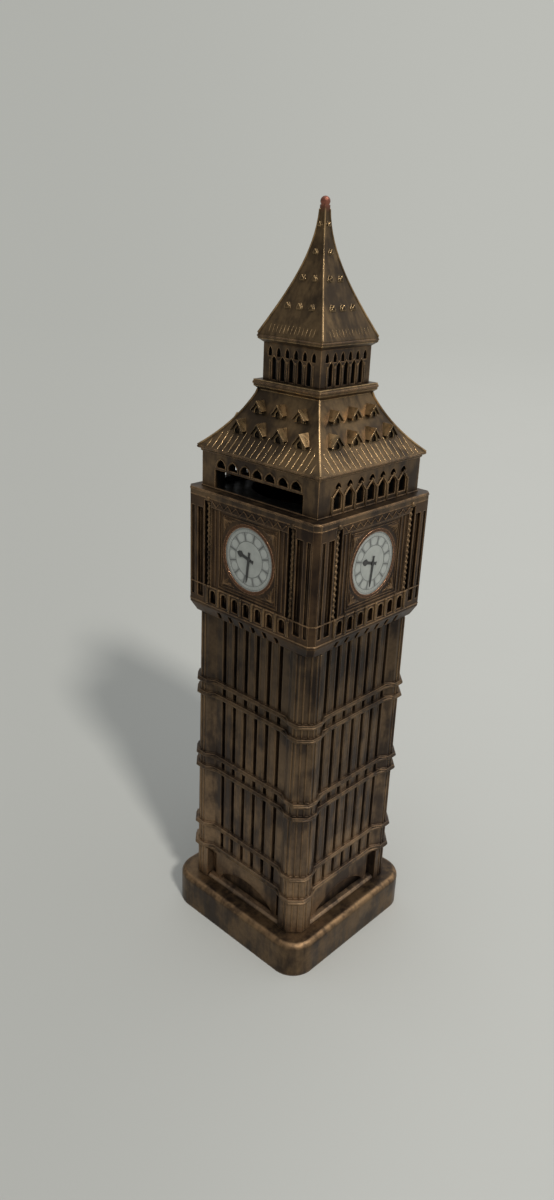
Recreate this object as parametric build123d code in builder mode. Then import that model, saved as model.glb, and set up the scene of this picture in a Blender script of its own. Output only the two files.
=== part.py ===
from build123d import *
import os
from math import cos, hypot, radians, sin, sqrt

# Die-cast clock tower that is also a coin bank, in millimetres.
# The origin is the middle of the foot's underside. +Z is up, the coin slot faces -Y.
# Coins enter at the belfry, fall through the clock stage and the shaft, and leave under the plinth.

os.makedirs("parts", exist_ok=True)

# ---- levels, from the table upwards ----
PLINTH_TOP = 9.6
RIB_FOOT = 18.6
SHAFT_TOP = 87.4
STAGE_FLARE_TOP = 89.8
STAGE_RIM = 116.6
BELFRY_FLOOR = 118.2
EAVE = 127.0
ROOF_CROWN = 140.5
LEDGE_TOP = 142.7
LANTERN_TOP = 150.6
SPIRE_EAVE = 152.4
TOTAL_HEIGHT = 180.0

# ---- half widths of the square storeys ----
PLINTH_HALF = 23.0
SHAFT_FOOT_HALF = 19.1
SHAFT_HEAD_HALF = 18.7
WALL_HALF = 17.6
STAGE_HALF = 20.1
BELFRY_HALF = 17.6
EAVE_HALF = 18.4
CROWN_HALF = 8.9
LEDGE_HALF = 9.75
LANTERN_HALF = 8.3
SPIRE_EAVE_HALF = 9.3

# ---- coins ----
COIN_DIAMETER = 25.75
COIN_PLAY = 1.05
SLOT_WIDTH = COIN_DIAMETER + COIN_PLAY
SLOT_HEIGHT = 4.5
DROP_RADIUS = SLOT_WIDTH / 2
WELL_HALF = 14.4
EXIT_RADIUS = 14.2

# ---- running and assembly clearances, on the radius ----
FIT = 0.05
CLEAR = 0.2

# ---- fasteners ----
SCREW_RADIUS = 1.0
HEAD_RADIUS = 1.8
HEAD_HEIGHT = 1.4
CORNER_SCREW = 15.7
BRACKET_SCREW = 12.6
BOSS_RADIUS = 2.1
PILOT_DEPTH = 9.0
DRIVE_RADIUS = 0.8
TIE_RADIUS = 1.2


def side_plane(side, distance, height=0.0):
    """Upright plane on one side of the tower (0 front, 1 right, 2 back, 3 left); its y is up."""
    turn = radians(90 * side)
    outward = Vector(sin(turn), -cos(turn), 0)
    along = Vector(cos(turn), sin(turn), 0)
    return Plane(origin=outward * distance + Vector(0, 0, height), x_dir=along, z_dir=outward)


def all_sides(distance, height=0.0):
    return [side_plane(side, distance, height) for side in range(4)]


def corners(offset):
    """Locations at the four corners of a centred square."""
    return GridLocations(2 * offset, 2 * offset, 2, 2)


def row(count, pitch, height=0.0):
    """Evenly spaced points along a side, centred."""
    return [((index - (count - 1) / 2) * pitch, height) for index in range(count)]


def pointed_arch(width, jamb, rise):
    """Arched opening: straight jambs, then two arcs that meet in a point."""
    half = width / 2
    with BuildSketch() as arch:
        with BuildLine():
            Polyline((-half, jamb), (-half, 0), (half, 0), (half, jamb))
            ThreePointArc((half, jamb), (0.68 * half, jamb + 0.56 * rise), (0, jamb + rise))
            ThreePointArc((-half, jamb), (-0.68 * half, jamb + 0.56 * rise), (0, jamb + rise))
        make_face()
    return arch.sketch


def gable_front(width, wall, rise):
    """Front of a dormer: a low wall under a steep gable."""
    half = width / 2
    with BuildSketch() as front:
        with BuildLine():
            Polyline((-half, 0), (half, 0), (half, wall), (0, wall + rise), (-half, wall), close=True)
        make_face()
    return front.sketch


def curved_roof(profile_points, bottom):
    """Square roof with crisp hips: two crossed prisms whose side outline is a concave curve."""
    foot_half, foot_height = profile_points[0]
    top_half, top = profile_points[-1]
    with BuildPart() as roof:
        for turn in (0, 1):
            with BuildSketch(side_plane(turn, 0)):
                with BuildLine():
                    Line((-foot_half, bottom), (foot_half, bottom))
                    Line((foot_half, bottom), (foot_half, foot_height))
                    Spline(*profile_points)
                    Line((top_half, top), (-top_half, top))
                    Spline(*[(-half, height) for half, height in profile_points])
                    Line((-foot_half, foot_height), (-foot_half, bottom))
                make_face()
            extrude(
                amount=2 * foot_half,
                both=True,
                mode=Mode.ADD if turn == 0 else Mode.INTERSECT,
            )
    return roof.part


def screw_set(name, spread, seat, length, head_up):
    """Four pan-head screws at the corners of a square; the seat is the face under the heads."""
    way = 1 if head_up else -1
    with BuildPart() as screws:
        with BuildSketch(Plane.XY.offset(seat)):
            with corners(spread):
                Circle(HEAD_RADIUS)
        extrude(amount=way * HEAD_HEIGHT)
        with BuildSketch(Plane.XY.offset(seat)):
            with corners(spread):
                Circle(SCREW_RADIUS)
        extrude(amount=-way * length)
        with BuildSketch(Plane.XY.offset(seat + way * HEAD_HEIGHT)):
            with corners(spread):
                RegularPolygon(DRIVE_RADIUS, 6)
        extrude(amount=-way * HEAD_HEIGHT / 2, mode=Mode.SUBTRACT)
    screws.part.label = name
    export_step(screws.part, f"parts/{name}.step")


# ---- plinth: square foot with round corners, open underneath, with the coin exit in its deck ----
PLINTH_CORNER = 6.3
PLINTH_EDGE = 1.5
PLINTH_WALL = 2.2
DECK = 2.4
DECK_UNDERSIDE = PLINTH_TOP - DECK

with BuildPart() as plinth:
    with BuildSketch():
        RectangleRounded(2 * PLINTH_HALF, 2 * PLINTH_HALF, PLINTH_CORNER)
    extrude(amount=PLINTH_TOP)
    fillet(plinth.faces().sort_by(Axis.Z)[-1].edges(), PLINTH_EDGE)
    with BuildSketch():
        inner_half = PLINTH_HALF - PLINTH_WALL
        RectangleRounded(2 * inner_half, 2 * inner_half, PLINTH_CORNER - PLINTH_WALL)
    extrude(amount=DECK_UNDERSIDE, mode=Mode.SUBTRACT)
    with BuildSketch(Plane.XY.offset(DECK_UNDERSIDE)):
        Circle(EXIT_RADIUS)
        with corners(CORNER_SCREW):
            Circle(SCREW_RADIUS + CLEAR)
    extrude(amount=DECK, mode=Mode.SUBTRACT)
plinth.part.label = "plinth"
export_step(plinth.part, "parts/plinth.step")

# ---- shaft: corner piers, ribbed walls between them, string courses around all of it ----
PIER_CHAMFER = 2.65
PIER_INNER = 12.0
PIER_FACET = 1.6
# rows of grooves: turn of the first of two facing sides, count, pitch
GROOVE_ROWS = ((90, 6, 3.7), (0, 7, 3.68))
GROOVE_MOUTH = 1.2
GROOVE_BOTTOM = 0.9
GROOVE_DEPTH = 1.25
STRING_HEIGHTS = (19.8, 26.5, 44.2, 48.0, 65.7, 69.3)
STRING_PROUD = 0.6
STRING_THICK = 1.0
STRING_NARROWING = STRING_PROUD * (hypot(1, PIER_FACET) - PIER_FACET)
FOOT_WALL_HALF = 13.2
NICHE_DEPTH = 1.2
NICHE_HALF = 9.4
NICHE_JAMB = 1.6
NICHE_RISE = 3.6
GAP_INNER = 11.2
GAP_TOP = 17.4
SHAFT_HEIGHT = SHAFT_TOP - PLINTH_TOP


def pier_half(height):
    """The shaft narrows slightly towards its head."""
    share = (height - PLINTH_TOP) / SHAFT_HEIGHT
    return SHAFT_FOOT_HALF + (SHAFT_HEAD_HALF - SHAFT_FOOT_HALF) * share


def wall_channel(wall_half, inner, mode):
    """Recess between two piers, seen from above, with its flared sides running out past the piers."""
    reach = SHAFT_FOOT_HALF + 2 * STRING_PROUD - wall_half
    flare = inner + PIER_FACET * reach
    Polygon((0, -inner), (reach, -flare), (reach, flare), (0, inner), align=None, mode=mode)


with BuildPart() as shaft:
    for level in (PLINTH_TOP, SHAFT_TOP):
        with BuildSketch(Plane.XY.offset(level)) as section:
            Rectangle(2 * pier_half(level), 2 * pier_half(level))
            chamfer(section.vertices(), PIER_CHAMFER)
    loft(ruled=True)

    # ribbed wall: a channel between the piers, cut by deep grooves
    with BuildSketch(Plane.XY.offset(RIB_FOOT)):
        with PolarLocations(WALL_HALF, 4):
            wall_channel(WALL_HALF, PIER_INNER, Mode.ADD)
        for turn, count, pitch in GROOVE_ROWS:
            with PolarLocations(WALL_HALF, 2, start_angle=turn):
                with GridLocations(0, pitch, 1, count):
                    Polygon(
                        (-GROOVE_DEPTH, -GROOVE_BOTTOM / 2),
                        (0, -GROOVE_MOUTH / 2),
                        (0, GROOVE_MOUTH / 2),
                        (-GROOVE_DEPTH, GROOVE_BOTTOM / 2),
                        align=None,
                    )
    extrude(amount=SHAFT_TOP - RIB_FOOT, mode=Mode.SUBTRACT)

    # string courses: thin bands that step out around the piers
    for level in STRING_HEIGHTS:
        band_half = pier_half(level) + STRING_PROUD
        with BuildSketch(Plane.XY.offset(level)) as band:
            Rectangle(2 * band_half, 2 * band_half)
            chamfer(band.vertices(), PIER_CHAMFER)
            with PolarLocations(WALL_HALF + STRING_PROUD, 4):
                wall_channel(WALL_HALF + STRING_PROUD, PIER_INNER - STRING_NARROWING, Mode.SUBTRACT)
        extrude(amount=STRING_THICK / 2, both=True)

    # foot: a plain wall under the ribs, a low arched niche in it, and a deep gap beside each pier
    with BuildSketch(Plane.XY.offset(PLINTH_TOP)):
        with PolarLocations(WALL_HALF, 4):
            foot_reach = SHAFT_FOOT_HALF - WALL_HALF + STRING_PROUD
            Rectangle(foot_reach, 2 * FOOT_WALL_HALF, align=(Align.MIN, Align.CENTER))
    extrude(amount=RIB_FOOT - PLINTH_TOP, mode=Mode.SUBTRACT)
    with BuildSketch(*all_sides(WALL_HALF, PLINTH_TOP)):
        with BuildLine():
            Polyline((-NICHE_HALF, NICHE_JAMB), (-NICHE_HALF, 0), (NICHE_HALF, 0), (NICHE_HALF, NICHE_JAMB))
            ThreePointArc((-NICHE_HALF, NICHE_JAMB), (0, NICHE_JAMB + NICHE_RISE), (NICHE_HALF, NICHE_JAMB))
        make_face()
        gap_width = FOOT_WALL_HALF - GAP_INNER
        with GridLocations(2 * GAP_INNER + gap_width, 0, 2, 1):
            Rectangle(gap_width, GAP_TOP - PLINTH_TOP, align=(Align.CENTER, Align.MIN))
    extrude(amount=-NICHE_DEPTH, mode=Mode.SUBTRACT)

    # coin well, and the screw holes in the solid corners at both ends
    with BuildSketch(Plane.XY.offset(PLINTH_TOP)):
        RectangleRounded(2 * WELL_HALF, 2 * WELL_HALF, SCREW_RADIUS * 2)
    extrude(amount=SHAFT_HEIGHT, mode=Mode.SUBTRACT)
    for level, way in ((PLINTH_TOP, 1), (SHAFT_TOP, -1)):
        with BuildSketch(Plane.XY.offset(level)):
            with corners(CORNER_SCREW):
                Circle(SCREW_RADIUS + FIT)
        extrude(amount=way * PILOT_DEPTH, mode=Mode.SUBTRACT)
shaft.part.label = "shaft"
export_step(shaft.part, "parts/shaft.step")

# ---- clock stage: square storey with a dial pocket on each side, open at the top ----
STAGE_CHAMFER = 1.2
STAGE_WALL = 2.4
STAGE_INNER = STAGE_HALF - STAGE_WALL
STAGE_FLOOR_TOP = 90.0
PANEL_HALF = 11.8
PANEL_SINK = 0.35
PANEL_BOTTOM = 95.4
PANEL_TOP = 114.6
DIAL_HEIGHT = 105.2
DIAL_RADIUS = 7.6
DIAL_THICK = 0.5
BEZEL_OUTER = 8.05
BEZEL_LIP_RADIUS = 7.35
BEZEL_LIP = 0.25
POCKET_DEPTH = 0.75
COLUMN_OFFSET = 13.0
COLUMN_CHANNEL = 2.1
CHANNEL_DEPTH = 1.1
CHANNEL_BOTTOM = 95.0
CHANNEL_TOP = 116.0
# sunk strips beside the corners: offset, width, depth
STRIPS = ((15.4, 1.9, 0.9), (17.9, 1.0, 0.5))
STRIP_BOTTOM = 92.0
STRIP_TOP = 114.0
ARCADE_SLOTS = 7
ARCADE_PITCH = 3.69
ARCADE_WIDTH = 1.9
ARCADE_BOTTOM = 91.2
ARCADE_TOP = 94.5
ARCADE_DEPTH = 1.3
GROOVE_HEAD = 89.4
GROOVE_FLOOR = 17.0
BRACKET_BOTTOM = 108.0
BRACKET_TOP = 110.5
BRACKET_REACH = 2.3

with BuildPart() as clock_stage:
    for level, half in ((SHAFT_TOP, SHAFT_HEAD_HALF + CLEAR), (STAGE_FLARE_TOP, STAGE_HALF)):
        with BuildSketch(Plane.XY.offset(level)) as section:
            Rectangle(2 * half, 2 * half)
            chamfer(section.vertices(), STAGE_CHAMFER)
    loft(ruled=True)
    with BuildSketch(Plane.XY.offset(STAGE_FLARE_TOP)) as section:
        Rectangle(2 * STAGE_HALF, 2 * STAGE_HALF)
        chamfer(section.vertices(), STAGE_CHAMFER)
    extrude(amount=STAGE_RIM - STAGE_FLARE_TOP)

    # faces: sunk panel, channels for the columns, sunk strips on the corners, arcade below
    with BuildSketch(*all_sides(STAGE_HALF, PANEL_BOTTOM)):
        Rectangle(2 * PANEL_HALF, PANEL_TOP - PANEL_BOTTOM, align=(Align.CENTER, Align.MIN))
    extrude(amount=-PANEL_SINK, mode=Mode.SUBTRACT)
    with BuildSketch(*all_sides(STAGE_HALF, CHANNEL_BOTTOM)):
        with GridLocations(2 * COLUMN_OFFSET, 0, 2, 1):
            Rectangle(COLUMN_CHANNEL, CHANNEL_TOP - CHANNEL_BOTTOM, align=(Align.CENTER, Align.MIN))
    extrude(amount=-CHANNEL_DEPTH, mode=Mode.SUBTRACT)
    for offset, width, depth in STRIPS:
        with BuildSketch(*all_sides(STAGE_HALF, STRIP_BOTTOM)):
            with GridLocations(2 * offset, 0, 2, 1):
                Rectangle(width, STRIP_TOP - STRIP_BOTTOM, align=(Align.CENTER, Align.MIN))
        extrude(amount=-depth, mode=Mode.SUBTRACT)
    with BuildSketch(*all_sides(STAGE_HALF, ARCADE_BOTTOM)):
        with GridLocations(ARCADE_PITCH, 0, ARCADE_SLOTS, 1):
            Rectangle(ARCADE_WIDTH, ARCADE_TOP - ARCADE_BOTTOM, align=(Align.CENTER, Align.MIN))
    extrude(amount=-ARCADE_DEPTH, mode=Mode.SUBTRACT)
    with BuildSketch(*all_sides(STAGE_HALF - PANEL_SINK, DIAL_HEIGHT)):
        Circle(BEZEL_OUTER + FIT)
    extrude(amount=-POCKET_DEPTH, mode=Mode.SUBTRACT)

    # the shaft's grooves run on up through the flare
    with BuildSketch(Plane.XY.offset(SHAFT_TOP)):
        for turn, count, pitch in GROOVE_ROWS:
            with PolarLocations(GROOVE_FLOOR, 2, start_angle=turn):
                with GridLocations(0, pitch, 1, count):
                    Rectangle(STAGE_HALF, GROOVE_MOUTH, align=(Align.MIN, Align.CENTER))
    extrude(amount=GROOVE_HEAD - SHAFT_TOP, mode=Mode.SUBTRACT)

    # inside: open room with a round drop hole in its floor
    with BuildSketch(Plane.XY.offset(STAGE_FLOOR_TOP)):
        Rectangle(2 * STAGE_INNER, 2 * STAGE_INNER)
    extrude(amount=STAGE_RIM - STAGE_FLOOR_TOP, mode=Mode.SUBTRACT)

    # corner brackets that take the screws of the storey above
    with BuildSketch(Plane.XY.offset(BRACKET_BOTTOM)):
        Rectangle(2 * STAGE_INNER, 2 * STAGE_INNER)
        edge = BRACKET_SCREW * sqrt(2) - BRACKET_REACH
        Rectangle(2 * edge, 2 * edge, rotation=45, mode=Mode.SUBTRACT)
    extrude(amount=BRACKET_TOP - BRACKET_BOTTOM)
    with BuildSketch(Plane.XY.offset(BRACKET_BOTTOM)):
        with corners(BRACKET_SCREW):
            Circle(SCREW_RADIUS + CLEAR)
        with corners(CORNER_SCREW):
            Circle(HEAD_RADIUS + CLEAR)
    extrude(amount=BRACKET_TOP - BRACKET_BOTTOM, mode=Mode.SUBTRACT)
    with BuildSketch(Plane.XY.offset(SHAFT_TOP)):
        Circle(DROP_RADIUS)
        with corners(CORNER_SCREW):
            Circle(SCREW_RADIUS + CLEAR)
    extrude(amount=STAGE_FLOOR_TOP - SHAFT_TOP, mode=Mode.SUBTRACT)
clock_stage.part.label = "clock_stage"
export_step(clock_stage.part, "parts/clock_stage.step")

# ---- dials and their bezels, one of each in the pocket on every side ----
SIDE_NAMES = ("front", "right", "back", "left")
POCKET_FLOOR = STAGE_HALF - PANEL_SINK - POCKET_DEPTH

for side, side_name in enumerate(SIDE_NAMES):
    with BuildPart() as dial:
        with BuildSketch(side_plane(side, POCKET_FLOOR, DIAL_HEIGHT)):
            Circle(DIAL_RADIUS)
        extrude(amount=DIAL_THICK)
    dial.part.label = f"dial_{side_name}"
    export_step(dial.part, f"parts/dial_{side_name}.step")

    with BuildPart() as bezel:
        with BuildSketch(side_plane(side, POCKET_FLOOR, DIAL_HEIGHT)):
            Circle(BEZEL_OUTER)
            Circle(DIAL_RADIUS + FIT, mode=Mode.SUBTRACT)
        extrude(amount=DIAL_THICK + FIT)
        with BuildSketch(side_plane(side, POCKET_FLOOR + DIAL_THICK + FIT, DIAL_HEIGHT)):
            Circle(BEZEL_OUTER)
            Circle(BEZEL_LIP_RADIUS, mode=Mode.SUBTRACT)
        extrude(amount=BEZEL_LIP)
    bezel.part.label = f"bezel_{side_name}"
    export_step(bezel.part, f"parts/bezel_{side_name}.step")

# ---- belfry: floor plate that closes the clock stage, and pierced walls above it ----
BELFRY_WALL = 1.8
BELFRY_PIER_INNER = 13.9
BAYS = 7
BAY_PITCH = 3.8
BAY_SILL = 119.4
HEAD_SILL = 123.9
SLOT_HEAD_SILL = 123.3
# openings: width, height of the straight jambs, rise of the pointed head
BAY_ARCH = (2.5, 2.5, 1.5)
HEAD_ARCH = (1.9, 0.3, 1.1)
SLOT_HEAD_ARCH = (2.8, 0.7, 1.2)
BOSS_DROP = STAGE_RIM - BRACKET_TOP
LIP_HEIGHT = 1.2
LIP_THICK = 1.0
LIP_HALF = 11.0
CEILING_UNDERSIDE = 125.6
RIM_HALF = 14.8

with BuildPart() as belfry:
    with BuildSketch(Plane.XY.offset(STAGE_RIM)) as plate:
        Rectangle(2 * STAGE_HALF, 2 * STAGE_HALF)
        chamfer(plate.vertices(), STAGE_CHAMFER)
        Circle(DROP_RADIUS, mode=Mode.SUBTRACT)
    extrude(amount=BELFRY_FLOOR - STAGE_RIM)
    with BuildSketch(Plane.XY.offset(BELFRY_FLOOR)):
        belfry_inner = BELFRY_HALF - BELFRY_WALL
        Rectangle(2 * BELFRY_HALF, 2 * BELFRY_HALF)
        Rectangle(2 * belfry_inner, 2 * belfry_inner, mode=Mode.SUBTRACT)
        pier_width = BELFRY_HALF - BELFRY_PIER_INNER
        with corners(BELFRY_HALF - pier_width / 2):
            Rectangle(pier_width, pier_width)
    extrude(amount=EAVE - BELFRY_FLOOR)

    # locating lips and screw bosses under the plate
    with BuildSketch(Plane.XY.offset(STAGE_RIM)):
        with PolarLocations(STAGE_INNER - FIT - LIP_THICK / 2, 4):
            Rectangle(LIP_THICK, 2 * LIP_HALF)
    extrude(amount=-LIP_HEIGHT)
    with BuildSketch(Plane.XY.offset(STAGE_RIM)):
        with corners(BRACKET_SCREW):
            Circle(BOSS_RADIUS)
    extrude(amount=-BOSS_DROP)

    # arcades on three sides; the front has the coin slot with a row of arched heads over it
    with BuildSketch(*[side_plane(side, BELFRY_HALF) for side in (1, 2, 3)]):
        with Locations(*row(BAYS, BAY_PITCH, BAY_SILL)):
            add(pointed_arch(*BAY_ARCH))
        with Locations(*row(BAYS, BAY_PITCH, HEAD_SILL)):
            add(pointed_arch(*HEAD_ARCH))
    extrude(amount=-BELFRY_WALL, mode=Mode.SUBTRACT)
    with BuildSketch(side_plane(0, BELFRY_HALF)):
        with Locations((0, BELFRY_FLOOR)):
            Rectangle(SLOT_WIDTH, SLOT_HEIGHT, align=(Align.CENTER, Align.MIN))
        with Locations(*row(BAYS, BAY_PITCH, SLOT_HEAD_SILL)):
            add(pointed_arch(*SLOT_HEAD_ARCH))
    extrude(amount=-BELFRY_WALL, mode=Mode.SUBTRACT)

    # ceiling for the tie rod, a rim on it that locates the roof, and blind holes in the bosses
    with BuildSketch(Plane.XY.offset(CEILING_UNDERSIDE)):
        Rectangle(2 * BELFRY_HALF, 2 * BELFRY_HALF)
        Circle(TIE_RADIUS + CLEAR, mode=Mode.SUBTRACT)
    extrude(amount=EAVE - CEILING_UNDERSIDE)
    with BuildSketch(Plane.XY.offset(EAVE)):
        Rectangle(2 * RIM_HALF, 2 * RIM_HALF)
        Rectangle(2 * (RIM_HALF - LIP_THICK), 2 * (RIM_HALF - LIP_THICK), mode=Mode.SUBTRACT)
    extrude(amount=LIP_HEIGHT)
    with BuildSketch(Plane.XY.offset(BRACKET_TOP)):
        with corners(BRACKET_SCREW):
            Circle(SCREW_RADIUS + FIT)
    extrude(amount=BOSS_DROP, mode=Mode.SUBTRACT)
belfry.part.label = "belfry"
export_step(belfry.part, "parts/belfry.step")

# ---- lower roof: concave hipped roof with dormers, and the ledge on its crown ----
FASCIA = 0.6
ROOF_SHELL = 1.7
EAVE_SHELL = 2.6
ROOF_MID = (12.9, 133.5)
CAVITY_TOP = 138.2
LEDGE_FLARE_TOP = 141.3
DORMER_PITCH = 6.2
DORMER_RECESS = 0.7

roof_outside = curved_roof([(EAVE_HALF, EAVE + FASCIA), ROOF_MID, (CROWN_HALF, ROOF_CROWN)], EAVE)
roof_inside = curved_roof(
    [
        (EAVE_HALF - EAVE_SHELL, EAVE + FASCIA),
        (ROOF_MID[0] - ROOF_SHELL, ROOF_MID[1] - FASCIA),
        (CROWN_HALF - ROOF_SHELL, CAVITY_TOP),
    ],
    EAVE,
)

# each row: how many, sill height, how far out the fronts stand, width, side wall, gable rise, depth
ROOF_DORMERS = (
    (4, 131.3, 14.9, 3.2, 0.8, 1.9, 3.2),
    (3, 135.9, 12.0, 2.7, 0.7, 1.6, 2.8),
)
# as above, for the spire
SPIRE_DORMERS = (
    (3, 158.0, 6.8, 1.3, 0.4, 0.8, 1.4),
    (2, 163.6, 4.35, 1.2, 0.4, 0.8, 1.2),
    (1, 168.9, 2.55, 1.1, 0.3, 0.7, 0.9),
    (1, 174.2, 1.55, 0.9, 0.3, 0.6, 0.7),
)
SPIRE_DORMER_PITCH = 3.4

with BuildPart() as lower_roof:
    add(roof_outside)
    for count, sill, stand, width, wall, rise, depth in ROOF_DORMERS:
        with BuildSketch(*all_sides(stand)):
            with Locations(*row(count, DORMER_PITCH, sill)):
                add(gable_front(width, wall, rise))
        extrude(amount=-depth)
        with BuildSketch(*all_sides(stand)):
            with Locations(*row(count, DORMER_PITCH, sill)):
                add(gable_front(width / 2, wall, rise / 2))
        extrude(amount=-DORMER_RECESS, mode=Mode.SUBTRACT)
    for level, top, foot_half, head_half in (
        (ROOF_CROWN, LEDGE_FLARE_TOP, CROWN_HALF, LEDGE_HALF),
        (LEDGE_FLARE_TOP, LEDGE_TOP, LEDGE_HALF, LEDGE_HALF),
    ):
        with BuildSketch(Plane.XY.offset(level)):
            Rectangle(2 * foot_half, 2 * foot_half)
        with BuildSketch(Plane.XY.offset(top)):
            Rectangle(2 * head_half, 2 * head_half)
        loft(ruled=True)
    add(roof_inside, mode=Mode.SUBTRACT)
    with BuildSketch(Plane.XY.offset(CAVITY_TOP)):
        Circle(TIE_RADIUS + CLEAR)
    extrude(amount=LEDGE_TOP - CAVITY_TOP, mode=Mode.SUBTRACT)
lower_roof.part.label = "lower_roof"
export_step(lower_roof.part, "parts/lower_roof.step")

# ---- lantern: small pierced storey with a cap ----
LANTERN_WALL = 1.4
LANTERN_CAP = 1.2
LANTERN_PITCH = 2.52
LANTERN_SLOTS = 5
LANTERN_SILL = 142.9
LANTERN_ARCH = (1.35, 4.2, 0.9)
EYES = 6
EYE_SILL = 147.9
EYE_ARCH = (1.15, 0.9, 1.1)

with BuildPart() as lantern:
    with BuildSketch(Plane.XY.offset(LEDGE_TOP)):
        lantern_inner = LANTERN_HALF - LANTERN_WALL
        Rectangle(2 * LANTERN_HALF, 2 * LANTERN_HALF)
        Rectangle(2 * lantern_inner, 2 * lantern_inner, mode=Mode.SUBTRACT)
    extrude(amount=LANTERN_TOP - LEDGE_TOP)
    with BuildSketch(Plane.XY.offset(LANTERN_TOP)):
        Rectangle(2 * LANTERN_HALF, 2 * LANTERN_HALF)
        Circle(TIE_RADIUS + CLEAR, mode=Mode.SUBTRACT)
    extrude(amount=-LANTERN_CAP)
    with BuildSketch(*all_sides(LANTERN_HALF)):
        with Locations(*row(LANTERN_SLOTS, LANTERN_PITCH, LANTERN_SILL)):
            add(pointed_arch(*LANTERN_ARCH))
        with Locations(*row(EYES, LANTERN_PITCH, EYE_SILL)):
            add(pointed_arch(*EYE_ARCH))
    extrude(amount=-LANTERN_WALL, mode=Mode.SUBTRACT)
lantern.part.label = "lantern"
export_step(lantern.part, "parts/lantern.step")

# ---- spire: concave pyramid with tiny dormers and a ball on its tip ----
SPIRE_SOFFIT = 151.4
SPIRE_NECK = (0.75, 178.3)
SPIRE_CURVE = ((4.75, 161.9), (2.25, 168.75))
BALL_RADIUS = 1.05
SPIRE_POCKET_HALF = 7.0
SPIRE_POCKET_HEIGHT = 5.0
SPIRE_POCKET_TAPER = 30
SPIRE_BOSS_RADIUS = 2.4
SPIRE_HOLE_TOP = 161.0

spire_body = curved_roof([(SPIRE_EAVE_HALF, SPIRE_EAVE), *SPIRE_CURVE, SPIRE_NECK], SPIRE_SOFFIT)

with BuildPart() as spire:
    add(spire_body)
    with BuildSketch(Plane.XY.offset(LANTERN_TOP)):
        Rectangle(2 * LANTERN_HALF, 2 * LANTERN_HALF)
    with BuildSketch(Plane.XY.offset(SPIRE_SOFFIT)):
        Rectangle(2 * SPIRE_EAVE_HALF, 2 * SPIRE_EAVE_HALF)
    loft(ruled=True)
    for count, sill, stand, width, wall, rise, depth in SPIRE_DORMERS:
        with BuildSketch(*all_sides(stand)):
            with Locations(*row(count, SPIRE_DORMER_PITCH, sill)):
                add(gable_front(width, wall, rise))
        extrude(amount=-depth)
    with Locations((0, 0, TOTAL_HEIGHT - BALL_RADIUS)):
        Sphere(BALL_RADIUS)
    with BuildSketch(Plane.XY.offset(LANTERN_TOP)):
        Rectangle(2 * SPIRE_POCKET_HALF, 2 * SPIRE_POCKET_HALF)
        Circle(SPIRE_BOSS_RADIUS, mode=Mode.SUBTRACT)
    extrude(amount=SPIRE_POCKET_HEIGHT, taper=SPIRE_POCKET_TAPER, mode=Mode.SUBTRACT)
    with BuildSketch(Plane.XY.offset(LANTERN_TOP)):
        Circle(TIE_RADIUS + FIT)
    extrude(amount=SPIRE_HOLE_TOP - LANTERN_TOP, mode=Mode.SUBTRACT)
spire.part.label = "spire"
export_step(spire.part, "parts/spire.step")

# ---- tie rod, washer and nut: they clamp the spire, lantern, roof and belfry together ----
WASHER_RADIUS = 5.0
WASHER_THICK = 0.8
NUT_RADIUS = 2.9
NUT_THICK = 2.0
TIE_TAIL = 0.5
NUT_TOP = CEILING_UNDERSIDE - WASHER_THICK
NUT_BOTTOM = NUT_TOP - NUT_THICK
TIE_BOTTOM = NUT_BOTTOM - TIE_TAIL

with BuildPart() as tie_rod:
    with BuildSketch(Plane.XY.offset(TIE_BOTTOM)):
        Circle(TIE_RADIUS)
    extrude(amount=SPIRE_HOLE_TOP - CLEAR - TIE_BOTTOM)
    chamfer(tie_rod.edges().filter_by(GeomType.CIRCLE), CLEAR)
tie_rod.part.label = "tie_rod"
export_step(tie_rod.part, "parts/tie_rod.step")

with BuildPart() as tie_washer:
    with BuildSketch(Plane.XY.offset(NUT_TOP)):
        Circle(WASHER_RADIUS)
        Circle(TIE_RADIUS + FIT, mode=Mode.SUBTRACT)
    extrude(amount=WASHER_THICK)
tie_washer.part.label = "tie_washer"
export_step(tie_washer.part, "parts/tie_washer.step")

with BuildPart() as tie_nut:
    with BuildSketch(Plane.XY.offset(NUT_BOTTOM)):
        RegularPolygon(NUT_RADIUS, 6)
        Circle(TIE_RADIUS + FIT, mode=Mode.SUBTRACT)
    extrude(amount=NUT_THICK)
tie_nut.part.label = "tie_nut"
export_step(tie_nut.part, "parts/tie_nut.step")

# ---- screws ----
LONG_SCREW = 10.0
BRACKET_SCREW_LENGTH = 7.5

screw_set("plinth_screws", CORNER_SCREW, DECK_UNDERSIDE, LONG_SCREW, head_up=False)
screw_set("stage_screws", CORNER_SCREW, STAGE_FLOOR_TOP, LONG_SCREW, head_up=True)
screw_set("belfry_screws", BRACKET_SCREW, BRACKET_BOTTOM, BRACKET_SCREW_LENGTH, head_up=False)

# ---- coin plug: cup-shaped bung in the plinth's deck, with a lug for its folding ring ----
PLUG_FLANGE_RADIUS = 16.2
PLUG_FLANGE = 1.6
PLUG_BOTTOM = DECK_UNDERSIDE - PLUG_FLANGE
PLUG_TOP = 11.2
PLUG_ROOF = 1.8
PLUG_CUP_RADIUS = 11.0
PLUG_EDGE = 0.5
HINGE_Y = 7.0
HINGE_Z = 7.5
WIRE_RADIUS = 0.65
LUG_WIDTH = 4.0
LUG_THICK = 2.6
LUG_BOTTOM = 6.2

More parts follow.
